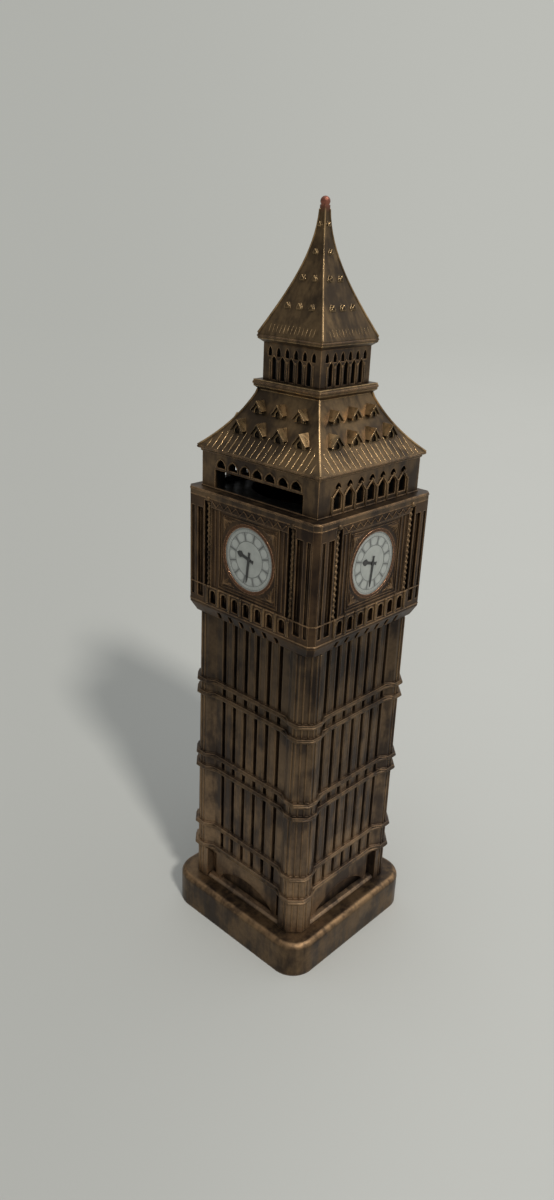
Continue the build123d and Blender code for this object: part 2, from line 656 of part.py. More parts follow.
with BuildPart() as coin_plug:
    with BuildSketch(Plane.XY.offset(PLUG_BOTTOM)):
        Circle(PLUG_FLANGE_RADIUS)
    extrude(amount=PLUG_FLANGE)
    with BuildSketch(Plane.XY.offset(DECK_UNDERSIDE)):
        Circle(EXIT_RADIUS - FIT)
    extrude(amount=PLUG_TOP - DECK_UNDERSIDE)
    chamfer(coin_plug.faces().sort_by(Axis.Z)[-1].edges(), PLUG_EDGE)
    chamfer(coin_plug.faces().sort_by(Axis.Z)[0].edges(), PLUG_EDGE)
    with BuildSketch(Plane.XY.offset(PLUG_BOTTOM)):
        Circle(PLUG_CUP_RADIUS)
    extrude(amount=PLUG_TOP - PLUG_ROOF - PLUG_BOTTOM, mode=Mode.SUBTRACT)
    with BuildSketch(Plane.XY.offset(LUG_BOTTOM)):
        with Locations((0, HINGE_Y)):
            Rectangle(LUG_WIDTH, LUG_THICK)
    extrude(amount=PLUG_TOP - PLUG_ROOF - LUG_BOTTOM)
    with BuildSketch(Plane.YZ.offset(-LUG_WIDTH / 2)):
        with Locations((HINGE_Y, HINGE_Z)):
            Circle(WIRE_RADIUS + FIT)
    extrude(amount=LUG_WIDTH, mode=Mode.SUBTRACT)
coin_plug.part.label = "coin_plug"
export_step(coin_plug.part, "parts/coin_plug.step")

# ---- pull ring: wire bent to a rounded D, its straight side turning in the plug's lug ----
RING_SHOULDER = 8.0
RING_REACH = -7.6
RING_BEND = 4.5

with BuildPart() as pull_ring:
    with BuildLine(Plane.XY.offset(HINGE_Z)) as wire:
        FilletPolyline(
            (RING_SHOULDER, HINGE_Y),
            (RING_SHOULDER, RING_REACH),
            (-RING_SHOULDER, RING_REACH),
            (-RING_SHOULDER, HINGE_Y),
            radius=RING_BEND,
            close=True,
        )
    with BuildSketch(Plane(origin=wire.line @ 0, z_dir=wire.line % 0)):
        Circle(WIRE_RADIUS)
    sweep()
pull_ring.part.label = "pull_ring"
export_step(pull_ring.part, "parts/pull_ring.step")
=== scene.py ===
from math import cos, pi, radians, sin, tau

import bmesh
import bpy
from mathutils import Matrix, Vector
from mathutils.bvhtree import BVHTree


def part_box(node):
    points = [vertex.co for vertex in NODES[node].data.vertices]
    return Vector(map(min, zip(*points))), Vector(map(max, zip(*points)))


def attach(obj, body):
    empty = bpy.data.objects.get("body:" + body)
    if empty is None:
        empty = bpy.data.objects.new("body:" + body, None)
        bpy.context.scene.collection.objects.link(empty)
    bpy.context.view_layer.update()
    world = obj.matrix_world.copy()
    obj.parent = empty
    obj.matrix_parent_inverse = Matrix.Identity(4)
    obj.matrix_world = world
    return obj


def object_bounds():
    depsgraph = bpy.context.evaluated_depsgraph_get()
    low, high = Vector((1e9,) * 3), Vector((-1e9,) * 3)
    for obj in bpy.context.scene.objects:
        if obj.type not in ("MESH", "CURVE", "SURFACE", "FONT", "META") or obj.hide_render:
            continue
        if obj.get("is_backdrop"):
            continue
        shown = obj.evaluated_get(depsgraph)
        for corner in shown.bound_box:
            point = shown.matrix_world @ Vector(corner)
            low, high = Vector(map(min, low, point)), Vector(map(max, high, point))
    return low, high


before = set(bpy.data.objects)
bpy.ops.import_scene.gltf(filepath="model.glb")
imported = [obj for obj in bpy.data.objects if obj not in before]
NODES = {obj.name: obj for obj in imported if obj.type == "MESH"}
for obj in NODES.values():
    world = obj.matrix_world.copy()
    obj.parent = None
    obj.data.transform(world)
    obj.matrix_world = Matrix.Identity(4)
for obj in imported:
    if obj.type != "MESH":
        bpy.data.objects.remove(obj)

# Miniature clock tower in antique bronze: ornament, dial print, finishes, light and camera.
# Lengths are millimetres, and meshes are written in metres.
# Sides: 0 front, 1 right, 2 back, 3 left.
MM = 0.001
CAD_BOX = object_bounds()
SIDES = range(4)


# ---- levels and half widths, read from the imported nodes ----
def top(node):
    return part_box(node)[1].z / MM


def bottom(node):
    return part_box(node)[0].z / MM


def half(node):
    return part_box(node)[1].x / MM


PLINTH_TOP = top("plinth")
SHAFT_TOP = top("shaft")
STAGE_HALF = half("clock_stage")
STAGE_RIM = top("clock_stage")
BELFRY_STEP = 1.6  # the belfry's floor stands this much above the stage's rim
BELFRY_FLOOR = STAGE_RIM + BELFRY_STEP
EAVE = bottom("lower_roof")
ROOF_HALF = half("lower_roof")
LEDGE_TOP = top("lower_roof")
LANTERN_HALF = half("lantern")
SPIRE_HALF = half("spire")
TIP = top("spire")
DIAL_FACE = -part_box("dial_front")[0].y / MM
DIAL_HEIGHT = (top("dial_front") + bottom("dial_front")) / 2


# ---- places on the tower ----
def on_side(side, s, z, out):
    """Point on a side: s to the right as seen from outside, z up, out from the axis."""
    turn = radians(90 * side)
    return Vector((sin(turn) * out + cos(turn) * s, sin(turn) * s - cos(turn) * out, z))


FAR = 60.0  # well outside the tower
ASIDE = 0.02  # keeps a ray off the exact edge that it looks for
TREES = {}


def tree(node):
    """Search tree of a CAD node's faces, in millimetres."""
    if node not in TREES:
        mesh = NODES[node].data
        corners = [vertex.co / MM for vertex in mesh.vertices]
        faces = [tuple(face.vertices) for face in mesh.polygons]
        TREES[node] = BVHTree.FromPolygons(corners, faces)
    return TREES[node]


def reach(node, side, s, z):
    """How far out from the axis a node's surface stands at a point of a side."""
    hit = tree(node).ray_cast(on_side(side, s, z, FAR), -on_side(side, 0, 0, 1))
    if hit[0] is None:
        raise ValueError(f"nothing of {node} at side {side}, s {s}, z {z}")
    return FAR - hit[3]


def hip(node, side, z):
    """Point on the edge between a side and the next one."""
    start = on_side(side, FAR, z, FAR - ASIDE)
    inward = on_side(side, -1, 0, -1).normalized()
    return tree(node).ray_cast(start, inward)[0]


def row(count, pitch):
    """Evenly spaced places, with their middle at zero."""
    return [(index - (count - 1) / 2) * pitch for index in range(count)]


def upright(side, s, low, high, out):
    """Straight path up a side."""
    return [on_side(side, s, z, out) for z in (low, high)]


def trace(side, middle, outline, out):
    """Path on a side along an outline of (s from the middle, z) points."""
    return [on_side(side, middle + s, z, out) for s, z in outline]


# ---- closed shells gathered into one mesh ----
class Shells:
    BEAD_STEPS = 6
    BEAD_POLE = 84  # degrees; the bead's ends are cut flat here
    COURSE_STEPS = 12
    LEAF_STEPS = 6
    LEAF_SUNK = 0.1
    LEAF_RIM = 0.04

    def __init__(self):
        self.points = []
        self.faces = []

    def loft(self, rings, closed=False):
        """Skins rings that have the same number of points, and caps the ends of an open row."""
        base = len(self.points)
        size = len(rings[0])
        count = len(rings)
        for ring in rings:
            self.points.extend(ring)
        for step in range(count if closed else count - 1):
            here = base + step * size
            there = base + (step + 1) % count * size
            for index in range(size):
                after = (index + 1) % size
                self.faces.append((here + index, here + after, there + after, there + index))
        if not closed:
            last = base + (count - 1) * size
            self.faces.append(tuple(base + index for index in reversed(range(size))))
            self.faces.append(tuple(last + index for index in range(size)))

    def tube(self, path, radius, sides=8, closed=False, ends=1.0):
        """Round bar along a path; ends below 1 taper it."""
        rings = []
        count = len(path)
        normal = None
        for index, point in enumerate(path):
            before = path[index - 1] if closed or index else point
            after = path[(index + 1) % count] if closed or index < count - 1 else point
            tangent = (after - before).normalized()
            if normal is None:
                normal = tangent.orthogonal().normalized()
            normal = (normal - tangent * normal.dot(tangent)).normalized()
            across = tangent.cross(normal)
            here = radius[index] if isinstance(radius, (list, tuple)) else radius
            if not closed and index in (0, count - 1):
                here *= ends
            rings.append([
                point + (normal * cos(tau * k / sides) + across * sin(tau * k / sides)) * here
                for k in range(sides)
            ])
        self.loft(rings, closed)

    def bead(self, centre, radius, sides=12):
        """Ball with small flat ends."""
        rings = []
        for index in range(self.BEAD_STEPS + 1):
            tilt = radians(self.BEAD_POLE * (2 * index / self.BEAD_STEPS - 1))
            size = radius * cos(tilt)
            height = Vector((0, 0, radius * sin(tilt)))
            rings.append([
                centre + height + Vector((cos(tau * k / sides), sin(tau * k / sides), 0)) * size
                for k in range(sides)
            ])
        self.loft(rings)

    def plate(self, side, outline, low, high, draw_in=1.0):
        """Flat piece on a side: outline of (s, z) points, its front drawn in towards the middle."""
        middle_s = sum(s for s, z in outline) / len(outline)
        middle_z = sum(z for s, z in outline) / len(outline)
        front = [
            (middle_s + (s - middle_s) * draw_in, middle_z + (z - middle_z) * draw_in)
            for s, z in outline
        ]
        self.loft([
            [on_side(side, s, z, low) for s, z in outline],
            [on_side(side, s, z, high) for s, z in front],
        ])

    def course(self, half_width, z, radius, corner=0.0):
        """Round moulding that runs round the tower; corner is what its corners are cut by."""
        path = []
        # where corners aren't cut, one side's end is the next side's start
        stops = self.COURSE_STEPS + (corner > 0)
        for side in SIDES:
            for step in range(stops):
                s = (half_width - corner) * (2 * step / self.COURSE_STEPS - 1)
                path.append(on_side(side, s, z, half_width))
        self.tube(path, radius, closed=True)

    def leaf(self, side, root, tip, width, low, high, bend=0.0):
        """Pointed leaf in relief from root to tip, with a ridge along its middle."""
        run = Vector((tip[0] - root[0], tip[1] - root[1]))
        across = Vector((-run.y, run.x)).normalized()
        rings = []
        for index in range(self.LEAF_STEPS + 1):
            share = index / self.LEAF_STEPS
            # widest nearer the root, and never quite a point
            swell = max(0.06, sin(pi * share ** 0.75))
            centre = Vector(root) + run * share + across * bend * sin(pi * share)
            edge = across * width / 2 * swell
            ridge = low + (high - low) * swell
            left, right = centre + edge, centre - edge
            sunk, rim = low - self.LEAF_SUNK, low + self.LEAF_RIM
            section = ((left, sunk), (left, rim), (centre, ridge), (right, rim), (right, sunk))
            rings.append([on_side(side, *place, out) for place, out in section])
        self.loft(rings)

    def annulus(self, side, inner, outer, low, high, height, steps=72):
        """Flat ring on a side, round a centre at that height."""
        section = ((inner, low), (outer, low), (outer, high), (inner, high))
        rings = []
        for index in range(steps):
            angle = tau * index / steps
            rings.append([
                on_side(side, radius * sin(angle), height + radius * cos(angle), out)
                for radius, out in section
            ])
        self.loft(rings, closed=True)


SHARP = 35.0  # degrees between faces, from which an edge is drawn sharp


def piece(name, shells, material):
    """Turns shells into an object that rides on the tower."""
    mesh = bpy.data.meshes.new(name)
    mesh.from_pydata([point * MM for point in shells.points], [], shells.faces)
    net = bmesh.new()
    net.from_mesh(mesh)
    bmesh.ops.recalc_face_normals(net, faces=net.faces)
    net.to_mesh(mesh)
    net.free()
    mesh.shade_smooth()
    mesh.set_sharp_from_angle(angle=radians(SHARP))
    mesh.materials.append(material)
    made = bpy.data.objects.new(name, mesh)
    bpy.context.scene.collection.objects.link(made)
    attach(made, "tower")


# ---- node materials ----
class Nodes:
    """Node tree of a material or a world, with the few nodes that this script needs."""

    def __init__(self, owner):
        owner.use_nodes = True
        self.tree = owner.node_tree

    def add(self, kind, inputs=None, **settings):
        """New node: an input given as a socket is linked, any other is set."""
        made = self.tree.nodes.new("ShaderNode" + kind)
        for key, value in settings.items():
            setattr(made, key, value)
        for key, value in (inputs or {}).items():
            if isinstance(value, bpy.types.NodeSocket):
                self.tree.links.new(value, made.inputs[key])
            else:
                made.inputs[key].default_value = value
        return made

    def fit(self, value, low, high, to_low=0.0, to_high=1.0, kind="SMOOTHSTEP"):
        """Value carried from one range to another, by a smooth step unless kind says LINEAR."""
        inputs = {
            "Value": value, "From Min": low, "From Max": high, "To Min": to_low, "To Max": to_high,
        }
        return self.add("MapRange", inputs, interpolation_type=kind).outputs[0]

    def calc(self, operation, first, second=0.0):
        return self.add("Math", {0: first, 1: second}, operation=operation).outputs[0]

    def product(self, *values):
        total = values[0]
        for value in values[1:]:
            total = self.calc("MULTIPLY", total, value)
        return total

    def dot(self, first, second):
        made = self.add("VectorMath", {0: first, 1: second}, operation="DOT_PRODUCT")
        return made.outputs["Value"]

    def mix(self, factor, first, second, blend="MIX"):
        inputs = {0: factor, 6: first, 7: second}
        return self.add("Mix", inputs, data_type="RGBA", blend_type=blend).outputs[2]


class Finish(Nodes):
    """Material whose patterns are placed in the object's own space."""

    def __init__(self, name):
        self.material = bpy.data.materials.new(name)
        super().__init__(self.material)
        self.tree.nodes.clear()
        self.place = self.add("TexCoord").outputs["Object"]

    def noise(self, size, detail=3.0, stretch=(1, 1, 1)):
        """Value noise whose features are about size millimetres across."""
        place = self.add("Mapping", {"Vector": self.place, "Scale": stretch}).outputs[0]
        inputs = {"Vector": place, "Scale": 1 / (size * MM), "Detail": detail, "Roughness": 0.55}
        return self.add("TexNoise", inputs).outputs[0]

    def rounded(self, radius, samples=6):
        """Surface normal as if the edges were rounded off."""
        return self.add("Bevel", {"Radius": radius * MM}, samples=samples).outputs[0]

    def flatness(self, soft):
        """1 where a rounded normal agrees with the true one, and less towards an edge."""
        return self.dot(soft, self.add("NewGeometry").outputs["Normal"])

    def bump(self, value, strength, distance, normal=None):
        inputs = {"Height": value, "Strength": strength, "Distance": distance * MM}
        if normal is not None:
            inputs["Normal"] = normal
        return self.add("Bump", inputs).outputs[0]

    def close(self, **inputs):
        """Ends the material with one principled shader, inputs named with _ for a space."""
        named = {key.replace("_", " "): value for key, value in inputs.items()}
        shader = self.add("BsdfPrincipled", named).outputs[0]
        self.add("OutputMaterial", {"Surface": shader})
        return self.material


def bronze(
    name, dark, body, rubbed, wear=1.0, rough=0.42, round_off=0.4,
    shaded_hollow=None, crest_sheen=0.0, floor_bounce=None, crevice_shade_floor=0.08,
):
    """Dark lacquer over metal: painted shade makes the crevices near black, and the raised edges
    are rubbed bright.

    wear is how much of the raised edges is rubbed, and round_off how wide they are. hollow is a
    half width, nearer the axis than which everything is painted near black as shade; crest paints
    a highlight in the rubbed colour on the surfaces that slope upwards; climb is the strength of
    the colour at the foot and at the head of the shaft, painted light as from the floor below; and
    pit is how much colour the painted shade leaves in the deepest crevices.
    """
    finish = Finish(name)
    clouds = finish.noise(11.0, detail=4)
    streaks = finish.noise(1.5, detail=4, stretch=(1, 1, 0.22))
    mottle = finish.noise(0.9, detail=5)
    grain = finish.noise(0.22, detail=2)
    soft = finish.rounded(round_off)
    air = finish.add("AmbientOcclusion", {"Distance": 1.8 * MM}, samples=6).outputs["AO"]

    # raised edges, rubbed where nothing shelters them and broken up by the streaks
    edge = finish.fit(finish.flatness(soft), 0.985, 0.84)
    # painted highlight: surfaces that slope upwards take the rubbed colour, as where light catches
    # them
    if crest_sheen:
        slope = finish.add("SeparateXYZ", {0: soft}).outputs["Z"]
        rising_sheen = finish.product(finish.fit(slope, 0.15, 0.5), finish.fit(slope, 0.995, 0.93))
        edge = finish.calc("MAXIMUM", edge, finish.product(rising_sheen, crest_sheen))
    broken = finish.calc("ADD", streaks, finish.product(mottle, 0.5))
    broken = finish.fit(broken, 0.55, 0.95, 0.35)
    wear_and_sheen = finish.product(edge, finish.fit(air, 0.35, 0.85), broken, wear)

    # lacquer, thin in clouds, then painted shade: darker in the crevices, by ambient occlusion
    thin = finish.calc("ADD", finish.product(clouds, 1.3), finish.product(streaks, 0.6))
    colour = finish.mix(finish.fit(thin, 0.76, 1.14), dark, body)
    colour = finish.mix(finish.fit(mottle, 0.35, 0.7, 0.0, 0.3), colour, dark)
    # painted shade: colour darkened by ambient occlusion, most in the deepest crevices
    shade = finish.fit(air, 0.2, 0.8, crevice_shade_floor, 1.0)
    place = finish.add("SeparateXYZ", {0: finish.place})
    # painted light: the colour is raised at the foot and lowered at the head, as if lit from the
    # floor below
    if floor_bounce:
        height = finish.fit(place.outputs["Z"], BOUNCE_FOOT * MM, BOUNCE_HEAD * MM, *floor_bounce)
        shade = finish.product(shade, height)
    # painted shade: everything nearer the axis than the given half width goes near black
    if shaded_hollow:
        across, along = (finish.calc("ABSOLUTE", place.outputs[axis]) for axis in "XY")
        width = finish.calc("MAXIMUM", across, along)
        hollow_shade = finish.fit(width, (shaded_hollow - 0.3) * MM, shaded_hollow * MM, 0.03, 1.0)
        shade = finish.product(shade, hollow_shade)
        wear_and_sheen = finish.product(wear_and_sheen, hollow_shade)
    grey = finish.add("CombineColor", {0: shade, 1: shade, 2: shade}).outputs[0]
    colour = finish.mix(1.0, colour, grey, "MULTIPLY")
    colour = finish.mix(wear_and_sheen, colour, rubbed)

    satin = finish.fit(streaks, 0.3, 0.75, rough - 0.07, rough + 0.1)
    satin = finish.calc("SUBTRACT", satin, finish.product(wear_and_sheen, 0.14))
    relief = finish.calc("ADD", finish.product(mottle, 0.6), finish.product(grain, 0.25))
    normal = finish.bump(relief, 0.3, 0.1, soft)
    metal = finish.fit(shade, 0.05, 0.6, 0.35, 0.82)
    return finish.close(Base_Color=colour, Metallic=metal, Roughness=satin, Normal=normal)


def rgb(red, green, blue):
    return (red, green, blue, 1.0)


BOUNCE_FOOT = 20  # painted light from the floor: the shaft's colour is lighter at the foot and darker at the head, changing between these heights
BOUNCE_HEAD = 88
BELFRY_INSIDE = 17.1  # half widths within which the belfry and the lantern are painted near black as shade
LANTERN_INSIDE = 7.95
COPPER = rgb(0.62, 0.37, 0.18)
GOLD = rgb(0.80, 0.53, 0.26)
DARK = rgb(0.042, 0.028, 0.019)
BODY = rgb(0.165, 0.105, 0.055)
BRONZE = bronze("antique_bronze", DARK, BODY, COPPER)
# painted highlight on the plinth's upward-sloping fillet
BRONZE_FOOT = bronze("foot_bronze", DARK, BODY, COPPER, crest_sheen=0.3, round_off=0.9)
# painted light from the floor on the shaft's foot, and lighter painted shade in its grooves
BRONZE_SHAFT = bronze(
    "shaft_bronze", rgb(0.042, 0.030, 0.023), rgb(0.17, 0.112, 0.065), COPPER,
    floor_bounce=(1.55, 0.5), wear=0.35, crevice_shade_floor=0.8,
)
BRONZE_STAGE = bronze(
    "stage_bronze", rgb(0.024, 0.014, 0.009), rgb(0.088, 0.051, 0.026), COPPER, wear=0.65,
)
# painted shade blackens the insides of the belfry and the lantern
BRONZE_BELFRY = bronze("belfry_bronze", DARK, BODY, COPPER, wear=0.8, shaded_hollow=BELFRY_INSIDE)
BRONZE_LANTERN = bronze("lantern_bronze", DARK, BODY, COPPER, wear=0.7, shaded_hollow=LANTERN_INSIDE)
BRONZE_ROOF = bronze(
    "roof_bronze", rgb(0.052, 0.034, 0.019), rgb(0.18, 0.115, 0.055), rgb(0.75, 0.50, 0.24),
    rough=0.38,
)
BRONZE_SEAM = bronze(
    "seam_bronze", rgb(0.13, 0.084, 0.042), rgb(0.46, 0.30, 0.145), GOLD,
    wear=0.8, rough=0.30, round_off=0.12,
)
# painted highlight on the hoods' upward slopes, besides their rubbed edges
BRONZE_HOOD = bronze(
    "hood_bronze", rgb(0.05, 0.033, 0.018), rgb(0.20, 0.125, 0.06), GOLD,
    wear=0.9, rough=0.36, round_off=0.12, crest_sheen=0.75,
)
BRONZE_RAISED = bronze(
    "raised_bronze", rgb(0.045, 0.029, 0.017), rgb(0.19, 0.118, 0.058), rgb(0.70, 0.44, 0.22),
    round_off=0.22,
)
# painted light from the floor at the foot, as on the shaft
BRONZE_REED = bronze(
    "reed_bronze", rgb(0.045, 0.031, 0.022), rgb(0.19, 0.122, 0.066), COPPER,
    wear=0.8, round_off=0.2, floor_bounce=(1.35, 0.7),
)
# painted light from the floor at the foot, as on the shaft
BRONZE_ROLL = bronze(
    "roll_bronze", rgb(0.042, 0.029, 0.020), rgb(0.165, 0.107, 0.058), COPPER,
    wear=0.35, round_off=0.3, floor_bounce=(1.3, 0.7),
)
# painted shade: near black, for the frieze's recesses
BRONZE_SHADE_PIT = bronze(
    "painted_shade_pit", rgb(0.006, 0.004, 0.003), rgb(0.012, 0.008, 0.006), rgb(0.02, 0.012, 0.008),
)


BALL_FOOT = 3.2  # below the tip, where the finial starts to turn redder
BALL_FULL = 1.6


def make_finial(name):
    """Roof bronze that turns to redder copper on the ball."""
    material = BRONZE_ROOF.copy()
    material.name = name
    finish = Nodes(material)
    found = {node.type: node for node in finish.tree.nodes}
    base = found["BSDF_PRINCIPLED"].inputs["Base Color"]
    colour = base.links[0].from_socket
    place = finish.add("SeparateXYZ", {0: found["TEX_COORD"].outputs["Object"]})
    height = place.outputs["Z"]
    share = finish.fit(height, (TIP - BALL_FOOT) * MM, (TIP - BALL_FULL) * MM, kind="LINEAR")
    finish.tree.links.new(finish.mix(share, colour, rgb(0.27, 0.10, 0.065)), base)
    return material


BRONZE_SPIRE = make_finial("spire_bronze")


def make_bezel():
    """Thin copper ring: dark flats as painted shade for the gap round the dial, bright copper at
    its edges.
    """
    finish = Finish("bezel_copper")
    scuff = finish.noise(0.9, detail=4)
    soft = finish.rounded(0.2)
    bright = finish.fit(finish.flatness(soft), 0.99, 0.85)
    edge = finish.product(bright, finish.fit(scuff, 0.3, 0.6, 0.5))
    # painted shade: the flats stay near black for the shadowed gap round the dial
    colour = finish.mix(edge, rgb(0.10, 0.05, 0.028), rgb(0.86, 0.46, 0.26))
    satin = finish.fit(scuff, 0.3, 0.7, 0.2, 0.36)
    normal = finish.bump(scuff, 0.15, 0.06, soft)
    return finish.close(Base_Color=colour, Metallic=0.95, Roughness=satin, Normal=normal)


def make_paper(name, tint, deep):
    """Printed card: faint mottling and a slight gloss."""
    finish = Finish(name)
    cloud = finish.noise(2.2, detail=5)
    fibre = finish.noise(0.3, detail=2)
    colour = finish.mix(finish.fit(cloud, 0.3, 0.7), tint, deep)
    satin = finish.fit(fibre, 0.3, 0.7, 0.38, 0.52)
    normal = finish.bump(fibre, 0.1, 0.03)
    return finish.close(
        Base_Color=colour, Roughness=satin, Normal=normal, Coat_Weight=0.25, Coat_Roughness=0.12
    )


def make_steel():
    """Brushed steel with duller spots, for the screws, the tie rod and the pull ring."""
    finish = Finish("zinc_steel")
    brushed = finish.noise(0.5, detail=4, stretch=(1, 1, 0.2))
    spots = finish.noise(2.4, detail=3)
    soft = finish.rounded(0.15, samples=4)
    colour = finish.mix(finish.fit(spots, 0.35, 0.7), rgb(0.56, 0.55, 0.52), rgb(0.36, 0.34, 0.30))
    satin = finish.fit(brushed, 0.3, 0.7, 0.24, 0.42)
    normal = finish.bump(brushed, 0.2, 0.05, soft)
    return finish.close(Base_Color=colour, Metallic=1.0, Roughness=satin, Normal=normal)


def make_plastic():
    """Black moulded plastic with a fine grain, for the plug."""
    finish = Finish("plug_plastic")
    spark = finish.noise(0.35, detail=2)
    haze = finish.noise(4.0, detail=3)
    soft = finish.rounded(0.3, samples=4)
    share = finish.fit(haze, 0.3, 0.7)
    colour = finish.mix(share, rgb(0.012, 0.012, 0.013), rgb(0.028, 0.027, 0.026))
    satin = finish.fit(haze, 0.3, 0.7, 0.42, 0.58)
    normal = finish.bump(spark, 0.3, 0.06, soft)
    return finish.close(Base_Color=colour, Roughness=satin, Normal=normal)


BEZEL = make_bezel()
DIAL_CARD = make_paper("dial_card", rgb(0.38, 0.395, 0.365), rgb(0.32, 0.335, 0.31))
DIAL_PALE = make_paper("dial_pale", rgb(0.40, 0.415, 0.385), rgb(0.35, 0.365, 0.34))
DIAL_GREY = make_paper("dial_grey", rgb(0.23, 0.24, 0.225), rgb(0.28, 0.29, 0.27))
DIAL_FINE = make_paper("dial_fine", rgb(0.085, 0.09, 0.085), rgb(0.12, 0.125, 0.115))
DIAL_INK = make_paper("dial_ink", rgb(0.010, 0.010, 0.010), rgb(0.018, 0.018, 0.017))
STEEL = make_steel()
PLASTIC = make_plastic()

CAD_FINISH = {
    "plinth": BRONZE_FOOT,
    "shaft": BRONZE_SHAFT,
    "clock_stage": BRONZE_STAGE,
    "belfry": BRONZE_BELFRY,
    "lower_roof": BRONZE_ROOF,
    "lantern": BRONZE_LANTERN,
    "spire": BRONZE_SPIRE,
    "coin_plug": PLASTIC,
}
for name in ("plinth_screws", "stage_screws", "belfry_screws", "tie_rod", "tie_washer", "tie_nut"):
    CAD_FINISH[name] = STEEL
CAD_FINISH["pull_ring"] = STEEL
for name in ("front", "right", "back", "left"):
    CAD_FINISH["dial_" + name] = DIAL_CARD
    CAD_FINISH["bezel_" + name] = BEZEL
for name, material in CAD_FINISH.items():
    NODES[name].data.materials.clear()
    NODES[name].data.materials.append(material)

# ---- shaft: reeds on the ribs and piers, rolls along the strings, sills at the foot ----
RIB_FOOT = 18.6
RIB_ROWS = ((5, 3.7), (6, 3.68))
RIB_REED = 0.8
RIB_PROBE = 35.0  # a height where the wall between the courses is plain
PIER_REEDS = (15.0, 16.0)
PIER_CUT = 2.65
PIER_FOOT = PLINTH_TOP + 0.3
PIER_HEAD = SHAFT_TOP - 0.4
# heights of the bands, and of the rolls on them
STRINGS = ((19.8, 19.3), (26.5, 26.2), (44.2, 43.95), (48.0, 47.75), (65.7, 65.45), (69.3, 69.05))

reeds = Shells()
for side in SIDES:
    for middle in row(*RIB_ROWS[side % 2]):
        wall = reach("shaft", side, middle, RIB_PROBE)
        for s in (middle - RIB_REED, middle + RIB_REED):
            reeds.tube(upright(side, s, RIB_FOOT, SHAFT_TOP, wall - 0.04), 0.14, 6)
piece("rib_reeds", reeds, BRONZE_SHAFT)

reeds = Shells()
for side in SIDES:
    for s in (*PIER_REEDS, *(-s for s in PIER_REEDS)):
        path = [
            on_side(side, s, z, reach("shaft", side, s, z) - 0.05)
            for z in (PIER_FOOT, 23.0, 35.0, 57.0, 78.0, PIER_HEAD)
        ]
        reeds.tube(path, 0.26)
    # two reeds on each cut corner
    for share in (0.3, 0.7):
        path = []
        for z in (PIER_FOOT, PIER_HEAD):
            flat = reach("shaft", side, PIER_REEDS[1], z)
            start = on_side(side, flat - PIER_CUT, z, flat)
            end = on_side((side + 1) % 4, -flat + PIER_CUT, z, flat)
            path.append(start.lerp(end, share) - (start + end).normalized() * 0.06)
        reeds.tube(path, 0.32)
piece("pier_reeds", reeds, BRONZE_REED)

# each roll follows its band, which swings out round the piers, smoothed over a few steps
ROLL_STEPS = 60
ROLL_SMOOTH = 3
rolls = Shells()
for band, z in STRINGS:
    path = []
    for side in SIDES:
        edge = reach("shaft", side, PIER_REEDS[1], band) - PIER_CUT - 0.05
        places = [edge * (2 * step / ROLL_STEPS - 1) for step in range(ROLL_STEPS + 1)]
        outs = [reach("shaft", side, s, band) for s in places]
        for step, s in enumerate(places):
            spread = min(ROLL_SMOOTH, step, ROLL_STEPS - step)
            near = outs[step - spread:step + spread + 1]
            path.append(on_side(side, s, z, sum(near) / len(near) - 0.14))
    rolls.tube(path, 0.4, closed=True)
piece("string_rolls", rolls, BRONZE_ROLL)

SILL_HALF = 12.9
# out from the wall, up from the plinth's top
SILL_PROFILE = ((-0.5, -0.1), (1.3, -0.1), (1.3, 0.3), (0.8, 0.8), (-0.5, 0.95))
sills = Shells()
for side in SIDES:
    wall = reach("shaft", side, 0.0, RIB_FOOT - 0.6)
    sills.loft([
        [on_side(side, s, PLINTH_TOP + rise, wall + out) for out, rise in SILL_PROFILE]
        for s in (-SILL_HALF, SILL_HALF)
    ])
piece("foot_sills", sills, BRONZE_SHAFT)

# ---- clock stage: mouldings, arcade, beaded columns, frame and leaves round the dial, frieze ----
ARCADE_PITCH = 3.69
ARCADE_SLOTS = 7
ARCADE_FOOT = 91.0
ARCADE_HEAD = 94.6
ARCH_SPRING = 93.7
ARCH_HALF = 1.1
ARCH_RISE = 0.95
ARCH_STEPS = 6
COLUMN = 13.0
COLUMN_FOOT = 95.0
COLUMN_HEAD = 116.0
COLUMN_BEADS = 16
STAGE_CUT = 1.2

mouldings = Shells()
# set back, height, radius
for inset, z, radius in (
    (0.04, 90.5, 0.2),
    (0.08, 95.2, 0.16),
    (0.08, BELFRY_FLOOR - 0.35, 0.26),
    (0.1, STAGE_RIM - 0.05, 0.14),
):
    mouldings.course(STAGE_HALF - inset, z, radius, STAGE_CUT)
piece("stage_mouldings", mouldings, BRONZE)

arcade = Shells()
for side in SIDES:
    for s in row(ARCADE_SLOTS + 1, ARCADE_PITCH):
        arcade.tube(upright(side, s, ARCADE_FOOT, ARCADE_HEAD, STAGE_HALF - 0.05), 0.42)
        arcade.bead(on_side(side, s, ARCADE_HEAD + 0.35, STAGE_HALF - 0.1), 0.58)
    for s in row(ARCADE_SLOTS, ARCADE_PITCH):
        turns = [pi * step / ARCH_STEPS for step in range(ARCH_STEPS + 1)]
        arch = [(-ARCH_HALF * cos(turn), ARCH_SPRING + ARCH_RISE * sin(turn)) for turn in turns]
        arcade.tube(trace(side, s, arch, STAGE_HALF - 0.12), 0.22, 6)
piece("stage_arcade", arcade, BRONZE_RAISED)

